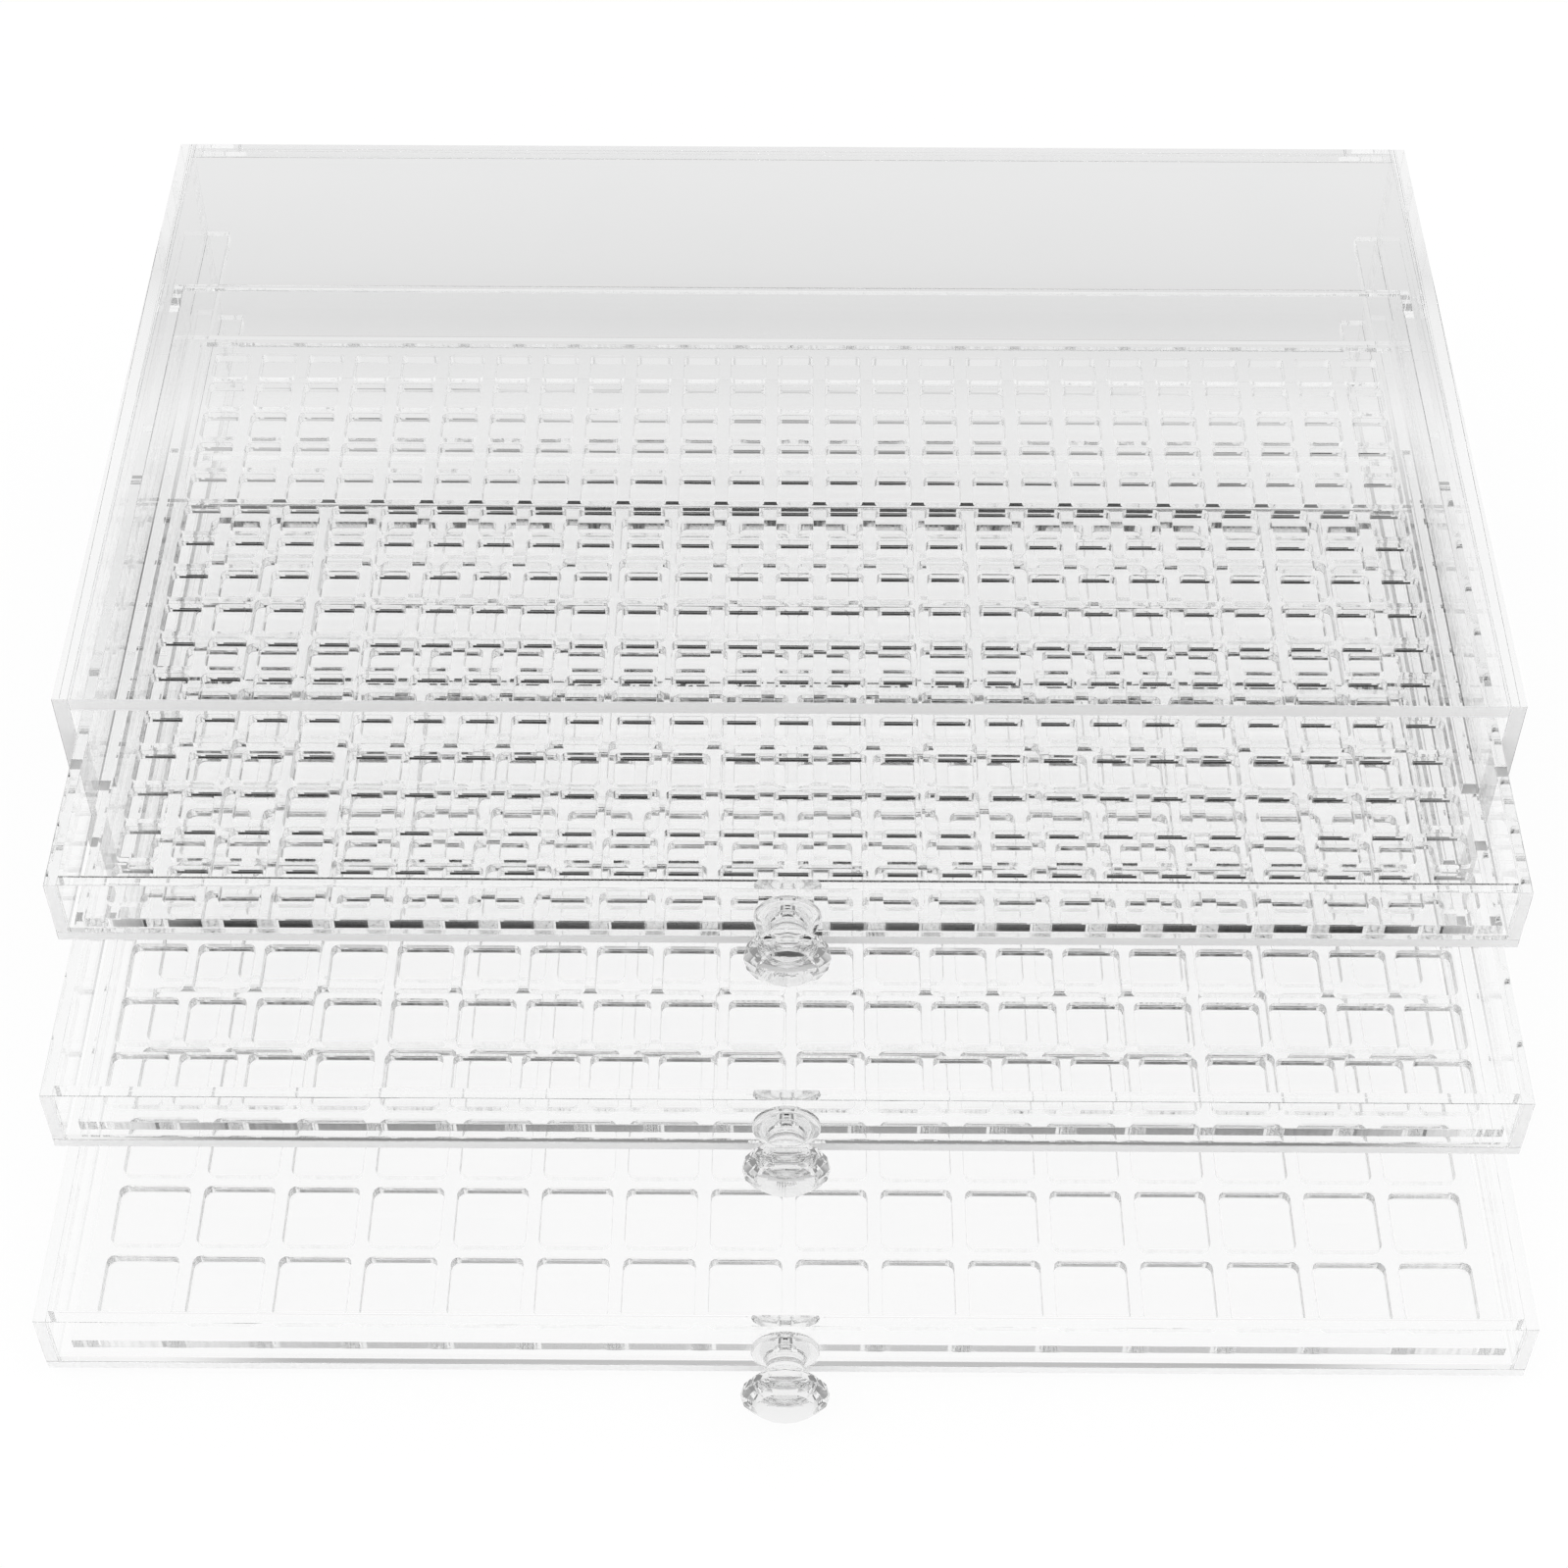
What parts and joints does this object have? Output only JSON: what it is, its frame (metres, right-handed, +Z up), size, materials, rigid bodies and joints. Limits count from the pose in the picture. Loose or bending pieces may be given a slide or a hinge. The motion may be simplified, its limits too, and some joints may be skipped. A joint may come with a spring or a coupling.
{
  "type": "nail art organizer",
  "caption": "Clear acrylic desktop case with shallow pull-out drawers, each holding a flat tray of small square pockets and pulled by a faceted knob.",
  "frame": {"origin": "centre of the case's underside", "axes": "+Z up, the open front with its drawers faces -Y, +X to the right seen from the front"},
  "size_m": [0.365, 0.3767, 0.0982],
  "materials": {
    "case_acrylic": "clear polished 4 mm acrylic sheet with sawn edges",
    "drawer_acrylic": "clear polished 3 mm acrylic sheet with sawn edges",
    "tray_acrylic": "clear acrylic plate with cut pockets",
    "knob_acrylic": "clear moulded acrylic, polished facets"
  },
  "bodies": {
    "case": {"case_top": "case_acrylic", "case_bottom": "case_acrylic", "case_back": "case_acrylic", "case_left_side": "case_acrylic", "case_right_side": "case_acrylic", "upper_left_rail": "case_acrylic", "upper_right_rail": "case_acrylic", "lower_left_rail": "case_acrylic", "lower_right_rail": "case_acrylic"},
    "top_drawer": {"top_drawer_bottom": "drawer_acrylic", "top_drawer_left_side": "drawer_acrylic", "top_drawer_right_side": "drawer_acrylic", "top_drawer_front": "drawer_acrylic", "top_drawer_back": "drawer_acrylic", "top_tray": "tray_acrylic", "top_knob": "knob_acrylic"},
    "middle_drawer": {"middle_drawer_bottom": "drawer_acrylic", "middle_drawer_left_side": "drawer_acrylic", "middle_drawer_right_side": "drawer_acrylic", "middle_drawer_front": "drawer_acrylic", "middle_drawer_back": "drawer_acrylic", "middle_tray": "tray_acrylic", "middle_knob": "knob_acrylic"},
    "bottom_drawer": {"bottom_drawer_bottom": "drawer_acrylic", "bottom_drawer_left_side": "drawer_acrylic", "bottom_drawer_right_side": "drawer_acrylic", "bottom_drawer_front": "drawer_acrylic", "bottom_drawer_back": "drawer_acrylic", "bottom_tray": "tray_acrylic", "bottom_knob": "knob_acrylic"}
  },
  "joints": [
    {"name": "top_drawer_slide", "type": "slide", "parent": "case", "child": "top_drawer", "axis": [0, -1, 0], "range_m": [-0.051, 0.146]},
    {"name": "middle_drawer_slide", "type": "slide", "parent": "case", "child": "middle_drawer", "axis": [0, -1, 0], "range_m": [-0.09, 0.107]},
    {"name": "bottom_drawer_slide", "type": "slide", "parent": "case", "child": "bottom_drawer", "axis": [0, -1, 0], "range_m": [-0.1327, 0.0643]}
  ]
}
